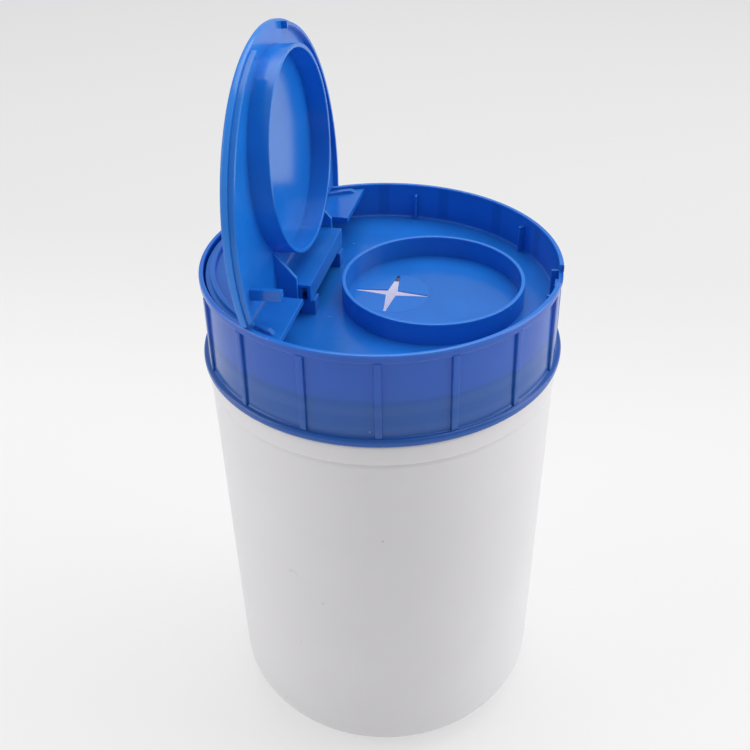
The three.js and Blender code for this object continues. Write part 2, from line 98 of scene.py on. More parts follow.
class CapSizes(bpy.types.PropertyGroup):
    """Sizes of the screw cap."""
    bottom: length("Bottom", "Height of the cap's lower edge", 0.1617)
    inner_radius: length("Inner radius", "Inside of the skirt", 0.0619)
    skirt_radius: length("Skirt radius", "Outside of the skirt", 0.0634)
    rim_inner: length("Rim inner radius", "Inside of the rim above the deck", 0.0623)
    rim_radius: length("Lip radius", "Outside of the rolled lip", 0.064)
    rim_top: length("Rim top", "Height of the rim", 0.196)
    lip_height: length("Lip height", "Height of the rolled lip", 0.0028)
    bead_radius: length("Bead radius", "Outside of the foot bead", 0.0654)
    bead_height: length("Bead height", "Height of the foot bead", 0.0027)
    deck_top: length("Deck top", "Upper face of the deck", 0.182)
    deck_under: length("Deck underside", "Lower face of the deck", 0.1802)
    grips: IntProperty(name="Grip ribs", description="Number of ribs round the skirt",
                       default=16, min=4, max=64)
    grip_width: length("Grip width", "Width of a grip rib", 0.0025)
    grip_out: length("Grip depth", "How far a grip rib stands out", 0.00095)
    ring_x: length("Ring place", "Distance of the dispensing ring in front of the axis", 0.01875)
    ring_radius: length("Ring radius", "Outside of the dispensing ring", 0.0323)
    ring_wall: length("Ring wall", "Wall of the dispensing ring", 0.0014)
    ring_top: length("Ring top", "Height of the dispensing ring", 0.190)
    star_x: length("Star place", "Distance of the slit's centre in front of the axis", 0.0038)
    star_arm: length("Star arm", "Length of one arm of the slit", 0.013)
    star_waist: length("Star waist", "Width of an arm at the slit's centre", 0.0036)
    star_tip: length("Star tip", "Width of an arm at its tip", 0.0010)
    disc_radius: length("Disc radius", "Thin disc that the slit is cut in", 0.014)
    disc_thick: length("Disc thickness", "Thickness of that disc", 0.0004)
    rest_depth: length("Rest depth", "How far the rest ribs stand in from the rim", 0.0024)


class FlapSizes(bpy.types.PropertyGroup):
    """Sizes of the flap, its hinge and the panel behind it."""
    top: length("Top", "Upper face of the panel and of the shut flap", 0.1946)
    plate: length("Plate", "Thickness of the flap", 0.002)
    panel_plate: length("Panel plate", "Thickness of the panel", 0.0024)
    radius: length("Flap radius", "Outer radius of the flap", 0.0589)
    ahead: position("Flap centre", "Centre of the flap's round edge, in front of the axis", 0.0015)
    flap_bead_height: length("Flap bead height", "How far the flap's bead stands up", 0.0006)
    lift_half: length("Finger lift", "Half width of the gap in the flap's edge rib", 0.016)
    bead_width: length("Bead width", "Width of the stacking bead", 0.002)
    bead_height: length("Bead height", "How far the stacking bead stands up", 0.00135)
    bead_inset: length("Bead inset", "From the panel's edge to the middle of its bead", 0.0027)
    flap_bead_inset: length("Flap bead inset", "From the flap's edge to the middle of its bead", 0.0017)
    panel_radius: length("Panel radius", "Outer radius of the panel", 0.0617)
    panel_front: position("Panel front", "Where the panel ends", -0.0198)
    flap_edge: position("Flap edge", "The shut flap's straight edge", -0.018)
    pivot_x: position("Pivot place", "Hinge axis, front to back", -0.0265)
    pivot_z: length("Pivot height", "Hinge axis height", 0.1886)
    seal_radius: length("Seal radius", "Inside of the flap's sealing ring", 0.0331)
    seal_depth: length("Seal depth", "Depth of the flap's sealing ring", 0.0072)
    opening: FloatProperty(name="Opening", description="How far the flap stands open",
                           default=radians(94), min=0.0, max=radians(94),
                           subtype="ANGLE", unit="ROTATION")


class CanisterLooks(bpy.types.PropertyGroup):
    """Colours of the canister and its stage."""
    cap_blue: tint("Cap blue", "Blue of the cap", (0.014, 0.180, 0.64))
    flap_blue: tint("Flap blue", "Blue of the flap", (0.012, 0.195, 0.68))
    panel_blue: tint("Panel blue", "Blue of the hinge panel", (0.014, 0.165, 0.60))
    bottle_white: tint("Bottle white", "White of the bottle", (0.80, 0.79, 0.80))
    wipes_white: tint("Wipes white", "White of the wipes", (0.84, 0.84, 0.88))
    floor: tint("Floor", "Colour of the floor and backdrop", (0.89, 0.89, 0.895))


# Colours that show only in places

EDGE_PALE = (0.035, 0.27, 0.86)       # light through a thin edge
SKIRT_SHADE_BLUE = (0.018, 0.048, 0.43)     # painted shade on the skirt's outside, a deeper blue than the lit deck
SKIRT_LOW_SHADE = (0.001, 0.086, 0.289)     # painted shade on the skirt where the neck stands behind it
THREAD_LIGHT_BLUE = (0.08, 0.19, 0.50)      # painted light: the thread behind the skirt shows as paler bands
GRIP_SHADE = (0.006, 0.085, 0.36)     # the rim's inside behind a grip rib
DISC_LIGHT_BLUE = (0.02, 0.25, 0.80)        # painted light through the thin disc round the slit
SCRATCH_BLUE = (0.03, 0.22, 0.40)
DUST = (0.40, 0.50, 0.78)
DIRT = (0.32, 0.30, 0.28)
SPECK = (0.30, 0.27, 0.26)
CRESCENT = (0.38, 0.36, 0.36)
# painted shade in the foam's pores, and the foam's own white
FOAM_PORE_SHADE, FOAM_TOP = (0.62, 0.62, 0.63), (0.78, 0.78, 0.79)
NO_LIGHT = (0.0, 0.0, 0.0)
NECK_LIGHT = (0.36, 0.34, 0.37)       # daylight through the bottle's wall, inside the neck
ROLL_LIGHT = (0.42, 0.39, 0.43)       # the same on the top of the roll


# Modelling helpers

SMOOTH_ANGLE = 35    # degrees that an edge may turn and still be shaded smooth
WELD = 2e-6          # points nearer than this become one
BITE = 0.0005        # how far a form runs into the one that carries it


def clear_selection():
    """Object mode with nothing selected."""
    if bpy.context.object and bpy.context.object.mode != "OBJECT":
        bpy.ops.object.mode_set(mode="OBJECT")
    bpy.ops.object.select_all(action="DESELECT")


def pick(piece):
    """Makes a piece the only selected and active object."""
    clear_selection()
    piece.select_set(True)
    bpy.context.view_layer.objects.active = piece


def arc(cx, cy, radius, start, end, steps):
    """Points of an arc between two angles in degrees."""
    turns = [radians(start + (end - start) * i / steps) for i in range(steps + 1)]
    return [(cx + radius * cos(a), cy + radius * sin(a)) for a in turns]


def rounded(points, radii, steps=4, closed=False):
    """The points with the corners named in radii turned by small curves."""
    result = []
    count = len(points)
    for i, here in enumerate(points):
        size = radii.get(i, 0.0)
        if size <= 0 or (not closed and i in (0, count - 1)):
            result.append(here)
            continue
        corner = Vector(here)
        before = Vector(points[i - 1]) - corner
        after = Vector(points[(i + 1) % count]) - corner
        near = corner + before.normalized() * min(size, before.length * 0.48)
        far = corner + after.normalized() * min(size, after.length * 0.48)
        for k in range(steps + 1):
            t = k / steps
            spot = near * (1 - t) ** 2 + corner * (2 * t * (1 - t)) + far * t ** 2
            result.append((spot.x, spot.y))
    return result


def draw_line(name, points):
    """A chain of edges through 3D points, left in edit mode."""
    clear_selection()
    bpy.ops.mesh.primitive_plane_add(size=0.002, location=(0, 0, 0))
    piece = bpy.context.object
    piece.name = name
    piece.data.name = name
    bpy.ops.object.mode_set(mode="EDIT")
    bpy.ops.mesh.select_mode(type="VERT")
    bpy.ops.mesh.select_all(action="SELECT")
    bpy.ops.mesh.merge(type="CENTER")
    bpy.ops.transform.translate(value=points[0])
    for here, there in zip(points, points[1:]):
        step = Vector(there) - Vector(here)
        bpy.ops.mesh.extrude_region_move(TRANSFORM_OT_translate={"value": step})
    return piece


def turned(name, profile, steps=160, centre=(0.0, 0.0), angle=SMOOTH_ANGLE):
    """A turned piece: the profile of (radius, height) points spun about a vertical line."""
    piece = draw_line(name, [(centre[0] + r, centre[1], z) for r, z in profile])
    bpy.ops.mesh.select_all(action="SELECT")
    middle = (centre[0], centre[1], 0)
    bpy.ops.mesh.spin(steps=steps, angle=2 * pi, center=middle, axis=(0, 0, 1),
                      use_auto_merge=True)
    bpy.ops.mesh.select_all(action="SELECT")
    bpy.ops.mesh.remove_doubles(threshold=WELD)
    bpy.ops.mesh.normals_make_consistent(inside=False)
    bpy.ops.object.mode_set(mode="OBJECT")
    bpy.ops.object.shade_smooth_by_angle(angle=radians(angle))
    return piece


def turned_ring(name, inner, outer, low, high, soft, steps=160, centre=(0.0, 0.0)):
    """A ring with a wall from inner to outer and softly turned edges."""
    corners = [(inner, low), (outer, low), (outer, high), (inner, high)]
    loop = rounded(corners, {i: soft for i in range(4)}, closed=True)
    return turned(name, loop + [loop[0]], steps, centre)


def soften_edges(test, size, segments=2):
    """Bevels the edges of the mesh in edit mode that a test accepts."""
    mesh = bmesh.from_edit_mesh(bpy.context.object.data)
    bpy.ops.mesh.select_all(action="DESELECT")
    bpy.ops.mesh.select_mode(type="EDGE")
    for edge in mesh.edges:
        edge.select_set(test(edge))
    bmesh.update_edit_mesh(bpy.context.object.data)
    bpy.ops.mesh.bevel(offset=size, segments=segments, affect="EDGES", clamp_overlap=True)


def plate(name, outline, low, high, soft=0.0, to_point=None):
    """A flat piece: an outline filled, pulled up and softened at both faces."""
    place = to_point or (lambda u, v, w: (u, v, w))
    closed = list(outline) + [outline[0]]
    piece = draw_line(name, [place(u, v, low) for u, v in closed])
    bpy.ops.mesh.select_all(action="SELECT")
    bpy.ops.mesh.remove_doubles(threshold=WELD)
    bpy.ops.mesh.select_all(action="SELECT")
    bpy.ops.mesh.edge_face_add()
    rise = Vector(place(0, 0, high)) - Vector(place(0, 0, low))
    bpy.ops.mesh.extrude_region_move(TRANSFORM_OT_translate={"value": rise})
    bpy.ops.mesh.select_all(action="SELECT")
    bpy.ops.mesh.normals_make_consistent(inside=False)
    if soft > 0:
        along = rise.normalized()
        soften_edges(lambda e: abs((e.verts[0].co - e.verts[1].co).dot(along)) < 1e-7, soft)
    bpy.ops.object.mode_set(mode="OBJECT")
    bpy.ops.object.shade_smooth_by_angle(angle=radians(SMOOTH_ANGLE))
    return piece


def side_plate(name, outline, low, high, soft=0.0):
    """A flat piece that stands across the hinge line, from an outline of (x, z) points."""
    return plate(name, outline, low, high, soft, lambda u, v, w: (u, w, v))


def small_block(name, x0, x1, y0, y1, z0, z1, soft):
    """A moulded block with soft edges."""
    clear_selection()
    middle = ((x0 + x1) / 2, (y0 + y1) / 2, (z0 + z1) / 2)
    bpy.ops.mesh.primitive_cube_add(size=1, location=middle)
    piece = bpy.context.object
    piece.name = name
    piece.scale = (x1 - x0, y1 - y0, z1 - z0)
    bpy.ops.object.transform_apply(location=True, rotation=True, scale=True)
    bpy.ops.object.mode_set(mode="EDIT")
    if soft > 0:
        bpy.ops.mesh.select_all(action="SELECT")
        bpy.ops.mesh.bevel(offset=soft, segments=2, affect="EDGES")
    bpy.ops.object.mode_set(mode="OBJECT")
    bpy.ops.object.shade_smooth_by_angle(angle=radians(50))
    return piece


def turned_copy(piece, name, turn):
    """A copy with its own mesh, turned about the canister's axis."""
    pick(piece)
    bpy.ops.object.duplicate()
    copy = bpy.context.object
    copy.name = name
    copy.rotation_euler = (0, 0, turn)
    bpy.ops.object.transform_apply(location=True, rotation=True, scale=True)
    return copy


def gathered(parts):
    """Several separate pieces as one mesh."""
    clear_selection()
    for part in parts:
        part.select_set(True)
    bpy.context.view_layer.objects.active = parts[0]
    if len(parts) > 1:
        bpy.ops.object.join()
    return parts[0]


def worked(base, tools, operation):
    """Adds or cuts one piece after another, each used up."""
    for tool in tools:
        pick(base)
        change = base.modifiers.new("work", "BOOLEAN")
        change.operation = operation
        change.solver = "EXACT"
        change.object = tool
        bpy.ops.object.modifier_apply(modifier=change.name)
        bpy.data.objects.remove(tool, do_unlink=True)
    return base


def smoothed(piece):
    """Merges doubles and shades a finished piece, with its flat faces kept flat."""
    pick(piece)
    bpy.ops.object.mode_set(mode="EDIT")
    bpy.ops.mesh.select_all(action="SELECT")
    bpy.ops.mesh.remove_doubles(threshold=WELD / 2)
    bpy.ops.object.mode_set(mode="OBJECT")
    bpy.ops.object.shade_smooth_by_angle(angle=radians(SMOOTH_ANGLE))
    even = piece.modifiers.new("even", "WEIGHTED_NORMAL")
    even.keep_sharp = True
    bpy.ops.object.modifier_apply(modifier=even.name)
    return piece


def screw_thread(name, wall, side, start, turns, sizes, bite=0.0006):
    """A helical thread on a wall, with ends that fade into it."""
    half_root, half_crest = sizes.root / 2, sizes.crest / 2
    section = [(-bite, -half_root), (0.0, -half_root), (sizes.height, -half_crest),
               (sizes.height, half_crest), (0.0, half_root), (-bite, half_root)]
    ring = [(wall + side * u, 0.0, start + v) for u, v in section]
    piece = draw_line(name, ring + [ring[0]])
    bpy.ops.mesh.select_all(action="SELECT")
    bpy.ops.mesh.remove_doubles(threshold=1e-7)
    bpy.ops.object.mode_set(mode="OBJECT")
    wind = piece.modifiers.new("wind", "SCREW")
    wind.axis = "Z"
    wind.angle = 2 * pi * turns
    wind.screw_offset = sizes.lead * turns
    wind.steps = int(72 * turns)
    wind.render_steps = wind.steps
    wind.use_merge_vertices = False
    bpy.ops.object.modifier_apply(modifier=wind.name)
    bpy.ops.object.mode_set(mode="EDIT")
    bpy.ops.mesh.select_all(action="DESELECT")
    bpy.ops.mesh.select_non_manifold()
    mesh = bmesh.from_edit_mesh(piece.data)
    for vertex in mesh.verts:
        if vertex.select:
            out = Vector((vertex.co.x, vertex.co.y))
            reach = side * (out.length - wall)
            if reach > 0:
                out = out.normalized() * (wall + side * 0.0001)
                vertex.co.x, vertex.co.y = out.x, out.y
    bmesh.update_edit_mesh(piece.data)
    bpy.ops.mesh.fill_holes(sides=0)
    bpy.ops.mesh.select_all(action="SELECT")
    bpy.ops.mesh.normals_make_consistent(inside=False)
    bpy.ops.object.mode_set(mode="OBJECT")
    bpy.ops.object.shade_smooth_by_angle(angle=radians(30))
    return piece


# Finishes

class Value:
    """A socket that can be used in a formula."""

    def __init__(self, finish, socket):
        self.finish = finish
        self.socket = socket

    def maths(self, operation, first, second=None):
        """One Math node of these values."""
        given = {0: first} if second is None else {0: first, 1: second}
        return self.finish.node("ShaderNodeMath", {"operation": operation}, given)

    def __add__(self, other):
        return self.maths("ADD", self, other)

    def __radd__(self, other):
        return self.maths("ADD", other, self)

    def __sub__(self, other):
        return self.maths("SUBTRACT", self, other)

    def __rsub__(self, other):
        return self.maths("SUBTRACT", other, self)

    def __mul__(self, other):
        return self.maths("MULTIPLY", self, other)

    def __rmul__(self, other):
        return self.maths("MULTIPLY", other, self)

    def __gt__(self, other):
        return self.maths("GREATER_THAN", self, other)

    def __lt__(self, other):
        return self.maths("LESS_THAN", self, other)

    def power(self, other):
        """This value to a power."""
        return self.maths("POWER", self, other)

    def size(self):
        """The value without its sign."""
        return self.maths("ABSOLUTE", self)

    def wave(self):
        """The sine of the value."""
        return self.maths("SINE", self)

    def ramp(self, low, high):
        """0 below low and 1 above high, with a smooth rise."""
        given = {"Value": self, "From Min": low, "From Max": high}
        return self.finish.node("ShaderNodeMapRange", {"interpolation_type": "SMOOTHSTEP"}, given)


class Finish:
    """A material built from formulas on the piece's own coordinates."""

    def __init__(self, name):
        self.material = bpy.data.materials.new(name)
        self.material.use_nodes = True
        self.tree = self.material.node_tree
        self.shader = self.tree.nodes["Principled BSDF"]
        self.place = self.node("ShaderNodeTexCoord", {}, {}, "Object")

    def node(self, kind, settings, given, out=0):
        """Any node: its settings first, then the values or links of its sockets."""
        node = self.tree.nodes.new(kind)
        for key, value in settings.items():
            setattr(node, key, value)
        for key, value in given.items():
            if isinstance(value, Value):
                self.tree.links.new(value.socket, node.inputs[key])
            else:
                node.inputs[key].default_value = value
        return Value(self, node.outputs[out])

    def spot(self):
        """The x, y and z of the point."""
        parts = self.tree.nodes.new("ShaderNodeSeparateXYZ")
        self.tree.links.new(self.place.socket, parts.inputs[0])
        return [Value(self, parts.outputs[i]) for i in range(3)]

    def stretched(self, scale, turn=(0, 0, 0)):
        """The piece's coordinates, stretched and turned."""
        given = {"Vector": self.place, "Rotation": turn, "Scale": scale}
        return self.node("ShaderNodeMapping", {}, given)

    def noise(self, scale, detail=2.0, rough=0.5, place=None):
        """Cloudy noise from 0 to 1."""
        given = {"Vector": place or self.place, "Scale": scale, "Detail": detail,
                 "Roughness": rough}
        return self.node("ShaderNodeTexNoise", {}, given, "Fac")

    def cells(self, scale, out="Distance"):
        """Distance to scattered points, or each one's own colour."""
        given = {"Vector": self.place, "Scale": scale}
        return self.node("ShaderNodeTexVoronoi", {"feature": "F1"}, given, out)

    def specks(self, scale, size, share):
        """Small scattered dots, on this share of the cells."""
        chosen = self.node("ShaderNodeSeparateColor", {}, {0: self.cells(scale, "Color")}, 0)
        return (1 - self.cells(scale).ramp(size * 0.6, size)) * (chosen < share)

    def away(self, middle):
        """Distance from a point."""
        ends = {0: self.place, 1: middle}
        return self.node("ShaderNodeVectorMath", {"operation": "DISTANCE"}, ends, 1)

    def mix(self, amount, first, second):
        """A blend of two colours."""
        first, second = (c if isinstance(c, Value) else (*c, 1.0) for c in (first, second))
        given = {0: amount, 6: first, 7: second}
        return self.node("ShaderNodeMix", {"data_type": "RGBA"}, given, 2)

    def bump(self, height, strength, distance, under=None):
        """A Bump node from a height."""
        given = {"Height": height, "Strength": strength, "Distance": distance}
        if under is not None:
            given["Normal"] = under
        return self.node("ShaderNodeBump", {}, given)

    def end(self, colour, roughness, normal=None, glow=None, **fixed):
        """Links what varies and sets what doesn't."""
        if glow is not None:
            self.tree.links.new(glow.socket, self.shader.inputs["Emission Color"])
            self.shader.inputs["Emission Strength"].default_value = 1.0
        self.tree.links.new(colour.socket, self.shader.inputs["Base Color"])
        self.tree.links.new(roughness.socket, self.shader.inputs["Roughness"])
        if normal is not None:
            self.tree.links.new(normal.socket, self.shader.inputs["Normal"])
        for key, value in fixed.items():
            self.shader.inputs[key.replace("_", " ")].default_value = value
        return self.material


def shade(colour, factor):
    """A colour made lighter or darker."""
    return tuple(min(1.0, c * factor) for c in colour)


def from_axis(x, y):
    """Distance from an upright line."""
    return (x * x + y * y).power(0.5)


def pale_edge(f, tone, middle, radius):
    """A round edge that a little light passes through."""
    return f.mix(f.away(middle).ramp(radius - 0.0006, radius - 0.0001) * 0.5, tone, EDGE_PALE)


def skirt_light_and_shade(f, tone, spot, cap, thread):
    """Painted shade on the skirt, deeper where the neck stands behind it, paler painted bands where the
    thread shows through, and painted shade on the rim's inside behind the grips.
    """
    x, y, z = spot
    reach = from_axis(x, y)
    angle = y.maths("ARCTAN2", y, x)
    climb = (z - angle * (thread.lead / (2 * pi)) - thread.neck_start) * (2 * pi / thread.lead)
    outside = reach.ramp(cap.skirt_radius - 0.0006, cap.skirt_radius - 0.0004)
    low = 1 - z.ramp(cap.deck_top - 0.0045, cap.deck_top - 0.0025)
    band = climb.wave().ramp(-0.6, 0.9) * low * outside
    # painted shade: the skirt's outside darker than the deck
    tone = f.mix(outside * 0.55, tone, SKIRT_SHADE_BLUE)
    # painted shade on the lower skirt, over the neck
    tone = f.mix(outside * low * 0.45, tone, SKIRT_LOW_SHADE)
    # painted light in paler bands where the thread behind the skirt shows through
    tone = f.mix(band * 0.14, tone, THREAD_LIGHT_BLUE)
    # painted shade on the rim's inside behind each grip rib
    inside = reach.ramp(cap.rim_inner - 0.0004, cap.rim_inner - 0.0002) * (1 - outside)
    inside = inside * z.ramp(cap.deck_top + 0.0005, cap.deck_top + 0.002)
    behind_grip = (angle * cap.grips - pi / 2).wave().ramp(0.72, 0.98)
    return f.mix(inside * behind_grip * 0.30, tone, GRIP_SHADE)


def rim_edge_light(f, tone, spot, cap):
    """Painted light along the tops of the rim and the dispensing ring, where light passes through their
    thin edges.
    """
    x, y, z = spot
    # painted light on the tops of the rim and the ring
    pale = 0.45
    on_rim = z.ramp(cap.rim_top - 0.0010, cap.rim_top - 0.0002)
    tone = f.mix(on_rim * pale, tone, EDGE_PALE)
    in_ring = 1 - from_axis(x - cap.ring_x, y).ramp(cap.ring_radius + 0.001,
                                                    cap.ring_radius + 0.002)
    on_ring = z.ramp(cap.ring_top - 0.0008, cap.ring_top - 0.0002)
    return f.mix(on_ring * in_ring * pale, tone, EDGE_PALE)


def deck_light_and_scratch(f, tone, spot, cap):
    """Painted light on the thin disc round the slit, and a scratch beside the dispensing ring."""
    x, y, z = spot
    on_deck = z.ramp(cap.deck_top - 0.0005, cap.deck_top - 0.0001)
    on_deck = on_deck * (1 - z.ramp(cap.deck_top + 0.0004, cap.deck_top + 0.001))
    centre = (cap.star_x, 0.0, cap.deck_top)
    # painted light where the thin disc lets more light through
    thin = 1 - f.away(centre).ramp(cap.disc_radius - 0.0012, cap.disc_radius)
    tone = f.mix(thin * on_deck * 0.22, tone, DISC_LIGHT_BLUE)
    scratch_x, scratch_y = -0.0072, -0.0354
    lean_x, lean_y = 0.92, 0.39
    along = (x - scratch_x) * lean_x + (y - scratch_y) * lean_y
    across = (y - scratch_y) * lean_x - (x - scratch_x) * lean_y
    scratch = (1 - along.size().ramp(0.0020, 0.0028)) * (1 - across.size().ramp(0.0002, 0.0005))
    broken = f.noise(900.0).ramp(0.35, 0.6)
    return f.mix(scratch * on_deck * broken * 0.7, tone, SCRATCH_BLUE)


def cap_light_and_scratch(f, tone, cap, thread):
    """The cap's painted light and shade, and a scratch, beside its plain blue."""
    spot = f.spot()
    tone = skirt_light_and_shade(f, tone, spot, cap, thread)
    tone = rim_edge_light(f, tone, spot, cap)
    return deck_light_and_scratch(f, tone, spot, cap)


def blue_polypropylene(name, colour, marks=None):
    """Glossy injection-moulded polypropylene that lets a little light in."""
    f = Finish(name)
    cloudy = f.noise(28.0, 3.0, 0.55)
    flow = f.noise(60.0, 2.0, 0.6, f.stretched(scale=(1.0, 0.35, 1.0)))
    tone = f.mix(cloudy.ramp(0.3, 0.7), shade(colour, 0.93), shade(colour, 1.07))
    tone = f.mix(flow.ramp(0.58, 0.8) * 0.18, tone, shade(colour, 1.25))
    rough = f.noise(90.0, 3.0) * 0.06 + 0.17
    # painted light and shade from the caller, with the cap's scratch
    if marks:
        tone = marks(f, tone)
    dust = f.specks(210.0, 0.085, 0.10)
    tone = f.mix(dust * 0.25, tone, DUST)
    grime = f.specks(120.0, 0.06, 0.06)
    tone = f.mix(grime * 0.35, tone, shade(colour, 0.35))
    scuff = f.noise(420.0, 2.0, 0.5, f.stretched(scale=(1.0, 0.12, 1.0), turn=(0.0, 0.0, 0.6)))
    rough = rough + scuff.ramp(0.66, 0.74) * 0.02 + dust * 0.15
    peel = f.bump(f.noise(520.0, 2.0), 0.06, 0.0002)
    sink = f.bump(f.noise(34.0, 1.0), 0.14, 0.0006, peel)
    return f.end(tone, rough, sink, IOR=1.49, Subsurface_Weight=0.12,
                 Subsurface_Radius=(0.0005, 0.0012, 0.004), Subsurface_Scale=1.0)


def white_polyethylene(name, colour, neck_inside):
    """Satin blow-moulded polyethylene with faint mould marks and a few specks."""
    f = Finish(name)
    x, y, z = f.spot()
    speck_at, crescent_at = (0.0131, -0.0615, 0.1193), (-0.0212, -0.0587, 0.0943)
    cloudy = f.noise(16.0, 3.0, 0.5)
    tone = f.mix(cloudy.ramp(0.3, 0.7), shade(colour, 0.985), shade(colour, 1.015))
    streak = f.noise(60.0, 2.0, 0.5, f.stretched(scale=(1.0, 1.0, 0.05)))
    tone = f.mix(streak.ramp(0.6, 0.85) * 0.12, tone, shade(colour, 0.93))
    dirt = f.specks(95.0, 0.05, 0.10)
    tone = f.mix(dirt * 0.30, tone, DIRT)
    speck = 1 - f.away(speck_at).ramp(0.0003, 0.0006)
    tone = f.mix(speck * 0.6, tone, SPECK)
    crescent = 1 - (f.away(crescent_at) - 0.0017).size().ramp(0.0001, 0.0004)
    crescent = crescent * (z - crescent_at[2]).ramp(-0.001, 0.001)
    tone = f.mix(crescent * 0.25, tone, CRESCENT)
    rough = f.noise(140.0, 3.0) * 0.12 + 0.36
    scuff = f.noise(300.0, 2.0, 0.5, f.stretched(scale=(1.0, 1.0, 0.2))).ramp(0.66, 0.76)
    rough = rough + scuff * 0.1
    peel = f.bump(f.noise(420.0, 2.0), 0.10, 0.0002)
    wavy = f.bump(f.noise(22.0, 1.0), 0.14, 0.0008, peel)
    in_neck = 1 - from_axis(x, y).ramp(neck_inside + 0.0002, neck_inside + 0.0006)
    in_neck = in_neck * z.ramp(0.145, 0.155)
    through_wall = f.mix(in_neck, NO_LIGHT, NECK_LIGHT)
    return f.end(tone, rough, wavy, through_wall, IOR=1.5, Subsurface_Weight=0.18,
                 Subsurface_Radius=(0.004, 0.0036, 0.0034), Subsurface_Scale=1.0)


def nonwoven(name, colour):
    """Nonwoven cloth: wound layers on its top with painted shade between them, lit through the pale
    bottle, and fine fibres.
    """
    f = Finish(name)
    x, y, z = f.spot()
    layer = 0.0011
    layers = (from_axis(x, y) * (2 * pi / layer) + f.noise(60.0) * 5.0).wave()
    top = z.ramp(0.1545, 0.1562)
    fibre = f.noise(1500.0, 3.0, 0.6, f.stretched(scale=(1.0, 0.4, 1.0)))
    # painted shade between the wound layers on the top, and the fibres' own darker tone
    tone = f.mix(layers.ramp(-0.5, 0.9) * top * 0.35 + fibre * 0.10, colour, shade(colour, 0.72))
    rough = fibre * 0.1 + 0.85
    deep = f.bump(layers * top + fibre * 0.3, 0.4, 0.0004)
    lit = top * (1 - layers.ramp(-0.5, 0.9) * 0.15)
    through_wall = f.mix(lit, NO_LIGHT, ROLL_LIGHT)
    return f.end(tone, rough, deep, through_wall, Subsurface_Weight=0.2,
                 Subsurface_Radius=(0.003, 0.003, 0.003), Subsurface_Scale=1.0)


def sealing_foam(name):
    """Soft white foamed sealing ring, with painted shade in its pores."""
    f = Finish(name)
    pores = f.cells(1400.0)
    # painted shade in the pores' hollows
    tone = f.mix(pores.ramp(0.0, 0.5), FOAM_PORE_SHADE, FOAM_TOP)
    rough = pores * 0.2 + 0.6
    return f.end(tone, rough, f.bump(pores, 0.3, 0.0002))


def dress(piece, material, body, slot, *nodes):
    """Gives a piece its finish, its body and the CAD nodes that it stands for."""
    piece.data.materials.clear()
    piece.data.materials.append(material)
    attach(piece, body)
    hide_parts(*nodes)
    return piece


# Pieces

class CANISTER_OT_bottle(bpy.types.Operator):
    """Adds the white bottle with its neck thread"""
    bl_idname = "canister.bottle"
    bl_label = "Bottle"
    bl_options = {"REGISTER", "UNDO"}

    def execute(self, context):
        s = context.scene.canister_bottle
        t = context.scene.canister_thread
        centre = s.foot_radius - s.corner_radius
        band_low = s.shoulder_height - s.band_height
        floor = s.base_recess + s.wall
        outside = rounded([
            (0.0, s.base_recess),
            (s.stand_radius - 0.004, s.base_recess),
            (s.stand_radius - 0.0005, 0.0),
            (s.stand_radius + 0.0002, 0.0),
        ], {1: 0.002, 2: 0.0008}, 5)
        outside += arc(centre, s.corner_radius, s.corner_radius, -90, 0, 26)
        upper = rounded([
            (s.foot_radius, s.corner_radius),
            (s.wall_top_radius - 0.0001, band_low - 0.0016),
            (s.wall_top_radius - 0.0006, band_low - 0.0004),
            (s.band_radius, band_low + 0.0004),
            (s.band_radius, s.shoulder_height),
            (s.neck_radius, s.shoulder_height),
            (s.neck_radius, s.neck_top),
            (s.neck_radius - s.wall, s.neck_top),
            (s.neck_radius - s.wall, s.shoulder_height - 0.0026),
            (s.wall_top_radius - s.wall, s.shoulder_height - 0.0059),
            (s.foot_radius - s.wall, s.corner_radius),
        ], {1: 0.0006, 2: 0.0002, 3: 0.0003, 4: 0.0012, 5: 0.0006, 6: 0.0004, 7: 0.0004,
            8: 0.002, 9: 0.002}, 5)
        inside = arc(centre, s.corner_radius, s.corner_radius - s.wall, 0, -90, 16)[1:]
        inside += rounded([
            (s.stand_radius + s.wall, s.wall),
            (s.stand_radius - 0.004, floor),
            (0.0, floor),
        ], {1: 0.002}, 4)
        bottle = turned("bottle", outside + upper[1:] + inside, 192)
        winding = screw_thread("neck_thread", s.neck_radius, 1, t.neck_start, 1.25, t)
        bottle = gathered([bottle, winding])
        looks = context.scene.canister_looks
        white = white_polyethylene("white_polyethylene", looks.bottle_white,
                                   s.neck_radius - s.wall)
        dress(bottle, white, "canister", "white_plastic", "canister_body")
        return {"FINISHED"}


class CANISTER_OT_roll(bpy.types.Operator):
    """Adds the roll of wipes and finishes the sealing ring"""
    bl_idname = "canister.roll"
    bl_label = "Roll of wipes"
    bl_options = {"REGISTER", "UNDO"}

    def execute(self, context):
        s = context.scene.canister_bottle
        low = s.base_recess + s.wall + 0.0003
        edge = 0.010
        side = arc(s.roll_radius - edge, low + edge, edge, -90, 0, 10)
        top = arc(s.roll_radius - 0.003, s.roll_top - 0.003, 0.003, 0, 90, 6)
        profile = [(s.roll_core, low)] + side + top
        profile += [(s.roll_core + 0.003, s.roll_top), (s.roll_core + 0.0008, s.roll_top - 0.001),
                    (s.roll_core, s.roll_top - 0.003), (s.roll_core, low)]
        roll = turned("roll_of_wipes", profile, 96, angle=50)
        looks = context.scene.canister_looks
        cloth = nonwoven("nonwoven_wipes", looks.wipes_white)
        dress(roll, cloth, "canister", "wipes", "wipes_roll")
        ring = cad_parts["lid_gasket"]
        ring.data.materials.clear()
        ring.data.materials.append(sealing_foam("sealing_foam"))
        return {"FINISHED"}


